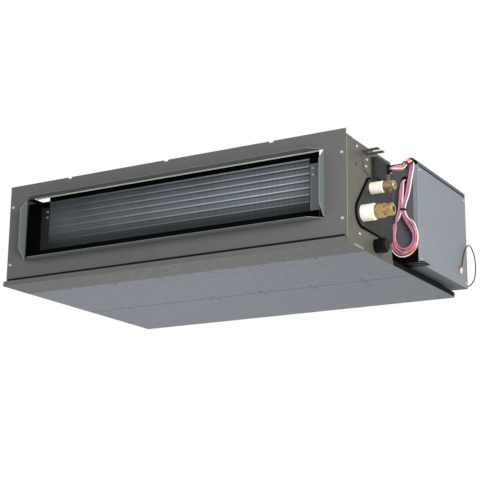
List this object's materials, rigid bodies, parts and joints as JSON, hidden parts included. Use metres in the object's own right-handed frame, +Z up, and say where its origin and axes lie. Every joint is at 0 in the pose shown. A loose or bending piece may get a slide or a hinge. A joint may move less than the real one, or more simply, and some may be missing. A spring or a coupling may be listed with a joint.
{
  "type": "ducted air conditioner",
  "caption": "Slim ducted indoor air conditioner in a folded sheet casing, with a leaning coil, twin centrifugal fans, side control box, pipe unions, drain and hanger tabs.",
  "frame": {"origin": "middle of the flat underside", "axes": "+X to the right as seen from the air outlet, +Y from the outlet to the rear inlet, +Z up"},
  "size_m": [1.071, 0.704, 0.272],
  "materials": {
    "galvanised_steel": "zinc coated, satin",
    "black_steel": "satin",
    "grey_plastic": "matte",
    "fin_aluminium": "satin",
    "copper": "copper, satin",
    "brass": "satin",
    "white_foam": "soft foam",
    "black_foam": "soft foam",
    "pan_plastic": "matte",
    "grey_rubber": "matte",
    "black_rubber": "matte",
    "fan_plastic": "matte",
    "housing_plastic": "matte",
    "ground_steel": "ground",
    "motor_paint": "satin",
    "filter_plastic": "matte",
    "board_laminate": "gloss",
    "component_plastic": "gloss",
    "transformer_steel": "satin",
    "pink_pvc": "satin",
    "tie_nylon": "matte",
    "lead_pvc": "satin",
    "white_nylon": "matte"
  },
  "bodies": {
    "casing": {"outlet_flange": "galvanised_steel", "bottom_front_rail": "galvanised_steel", "top_front_rail": "galvanised_steel", "left_side_panel": "galvanised_steel", "right_side_panel": "galvanised_steel", "top_panel": "galvanised_steel", "bottom_front_panel": "galvanised_steel", "bottom_rear_panel": "galvanised_steel", "cross_rail": "galvanised_steel", "rear_inlet_frame": "galvanised_steel", "front_hanger_left": "galvanised_steel", "front_hanger_right": "galvanised_steel", "rear_hanger_left": "galvanised_steel", "rear_hanger_right": "galvanised_steel", "pipe_cover_plate": "galvanised_steel", "fan_partition": "galvanised_steel", "coil_left_plate": "galvanised_steel", "coil_right_plate": "galvanised_steel", "control_box": "galvanised_steel", "control_box_cover": "galvanised_steel", "motor_bracket": "galvanised_steel", "motor_straps": "galvanised_steel", "lower_bracket": "black_steel", "harness_clip": "black_steel", "service_cover": "grey_plastic", "coil_fins": "fin_aluminium", "coil_tubes": "copper", "gas_pipe": "copper", "liquid_pipe": "copper", "gas_union": "brass", "liquid_union": "brass", "gas_sleeve": "white_foam", "liquid_sleeve": "white_foam", "outlet_foam": "black_foam", "pipe_gasket": "black_foam", "drain_pan": "pan_plastic", "drain_socket": "pan_plastic", "drain_plug": "grey_rubber", "harness_grommet": "black_rubber", "box_grommets": "black_rubber", "motor_rings": "black_rubber", "left_scroll_upper": "housing_plastic", "left_scroll_lower": "housing_plastic", "right_scroll_upper": "housing_plastic", "right_scroll_lower": "housing_plastic", "fan_motor": "motor_paint", "circuit_board": "board_laminate", "board_components": "component_plastic", "terminal_block": "component_plastic", "transformer": "transformer_steel", "harness_trunk": "pink_pvc", "harness_loop": "pink_pvc", "harness_ties": "tie_nylon", "tether_lead": "lead_pvc", "lead_connector": "white_nylon"},
    "fan_rotor": {"fan_shaft": "ground_steel", "left_fan_wheel": "fan_plastic", "right_fan_wheel": "fan_plastic"},
    "filter": {"air_filter": "filter_plastic"}
  },
  "joints": [
    {"name": "fan_spin", "type": "hinge", "parent": "casing", "child": "fan_rotor", "pos_m": [-0.016, 0.0745, 0.112], "axis": [1, 0, 0], "continuous": true},
    {"name": "filter_slide", "type": "slide", "parent": "casing", "child": "filter", "axis": [-1, 0, 0], "range_m": [0, 0.6]}
  ]
}
